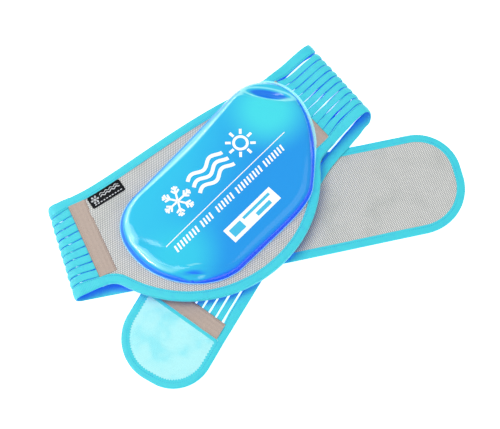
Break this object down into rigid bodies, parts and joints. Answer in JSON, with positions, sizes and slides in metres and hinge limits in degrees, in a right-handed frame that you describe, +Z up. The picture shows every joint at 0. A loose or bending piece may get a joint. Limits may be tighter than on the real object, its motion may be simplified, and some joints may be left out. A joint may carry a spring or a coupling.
{
  "type": "cold compression wrap",
  "caption": "Wearable cold compression wrap: padded pod with a removable gel pack, elastic wings that fold behind it, a hook pad on one end and loop mesh on the other.",
  "frame": {"origin": "middle of the base of the folded wrap's bounding box, on the table", "axes": "+X along the pod towards the hook wing, +Y towards the pod's straight upper edge, +Z up, out of the pod's mesh face"},
  "size_m": [0.4212, 0.2474, 0.0334],
  "materials": {
    "mesh_knit": "open spacer knit, matt",
    "liner": "plain woven, matt",
    "batting": "fibrous, matt",
    "shell": "brushed knit, matt",
    "binding": "ribbed folded tape, slight sheen",
    "elastic": "woven elastic, slight sheen",
    "seam_tape": "twill tape, matt",
    "label": "woven satin label",
    "hook": "fine moulded hooks",
    "core": "soft foam-backed cloth",
    "pack_film": "clear tinted film, glossy",
    "gel": "translucent gel, wet gloss"
  },
  "bodies": {
    "pod": {"pod_mesh_panel": "mesh_knit", "pod_pocket_liner": "liner", "pod_insulation": "batting", "pod_outer_shell": "shell", "pod_upper_binding": "binding", "pod_lower_binding": "binding", "woven_label": "label", "left_inner_tape": "seam_tape", "right_inner_tape": "seam_tape"},
    "gel_pack": {"pack_bottom_film": "pack_film", "pack_top_film": "pack_film", "pack_gel": "gel"},
    "left_wing": {"left_band_1": "elastic", "left_band_2": "elastic", "left_band_3": "elastic", "left_band_4": "elastic", "left_band_5": "elastic", "left_band_6": "elastic", "left_band_7": "elastic", "left_band_8": "elastic", "left_band_9": "elastic", "left_upper_edge_band": "elastic", "left_lower_edge_band": "elastic"},
    "left_end": {"left_outer_tape": "seam_tape"},
    "left_tongue": {"left_tongue_loop_face": "mesh_knit", "left_tongue_core": "core", "left_tongue_back_face": "mesh_knit", "left_tongue_binding": "binding"},
    "right_wing": {"right_band_1": "elastic", "right_band_2": "elastic", "right_band_3": "elastic", "right_band_4": "elastic", "right_band_5": "elastic", "right_band_6": "elastic", "right_band_7": "elastic", "right_band_8": "elastic", "right_band_9": "elastic", "right_upper_edge_band": "elastic", "right_lower_edge_band": "elastic"},
    "right_end": {"right_outer_tape": "seam_tape"},
    "right_tongue": {"hook_pad": "hook", "right_tongue_core": "core", "right_tongue_back_face": "shell", "right_tongue_binding": "binding"}
  },
  "joints": [
    {"name": "left_fold", "type": "hinge", "parent": "pod", "child": "left_wing", "pos_m": [-0.18935, 0.06324, 0.00965], "axis": [0.2419, 0.9703, 0], "range_deg": [0, 180], "deforming": ["left_band_1", "left_band_2", "left_band_3", "left_band_4", "left_band_5", "left_band_6", "left_band_7", "left_band_8", "left_band_9", "left_upper_edge_band", "left_lower_edge_band"]},
    {"name": "left_stretch", "type": "slide", "parent": "left_wing", "child": "left_end", "axis": [0.9367, -0.3502, 0], "range_m": [0, 0.06], "stiffness_N_per_m": 300, "deforming": ["left_band_1", "left_band_2", "left_band_3", "left_band_4", "left_band_5", "left_band_6", "left_band_7", "left_band_8", "left_band_9", "left_upper_edge_band", "left_lower_edge_band"]},
    {"name": "left_tongue_flex", "type": "hinge", "parent": "left_end", "child": "left_tongue", "pos_m": [0.01827, -0.01724, 0.0021], "axis": [0.3502, 0.9367, 0], "range_deg": [0, 70], "stiffness_Nm_per_rad": 0.1},
    {"name": "right_fold", "type": "hinge", "parent": "pod", "child": "right_wing", "pos_m": [0.14511, 0.06896, 0.014], "axis": [0.0958, -0.9954, 0], "range_deg": [0, 180], "deforming": ["right_band_1", "right_band_2", "right_band_3", "right_band_4", "right_band_5", "right_band_6", "right_band_7", "right_band_8", "right_band_9", "right_upper_edge_band", "right_lower_edge_band"]},
    {"name": "right_stretch", "type": "slide", "parent": "right_wing", "child": "right_end", "axis": [-0.8894, -0.4571, 0], "range_m": [0, 0.06], "stiffness_N_per_m": 300, "deforming": ["right_band_1", "right_band_2", "right_band_3", "right_band_4", "right_band_5", "right_band_6", "right_band_7", "right_band_8", "right_band_9", "right_upper_edge_band", "right_lower_edge_band"]},
    {"name": "right_tongue_flex", "type": "hinge", "parent": "right_end", "child": "right_tongue", "pos_m": [-0.12876, -0.05899, 0.0055], "axis": [0.3616, -0.9323, 0], "range_deg": [0, 70], "stiffness_Nm_per_rad": 0.1},
    {"name": "pack_lift", "type": "slide", "parent": "pod", "child": "gel_pack", "axis": [0, 0, 1], "range_m": [0, 0.06]}
  ]
}
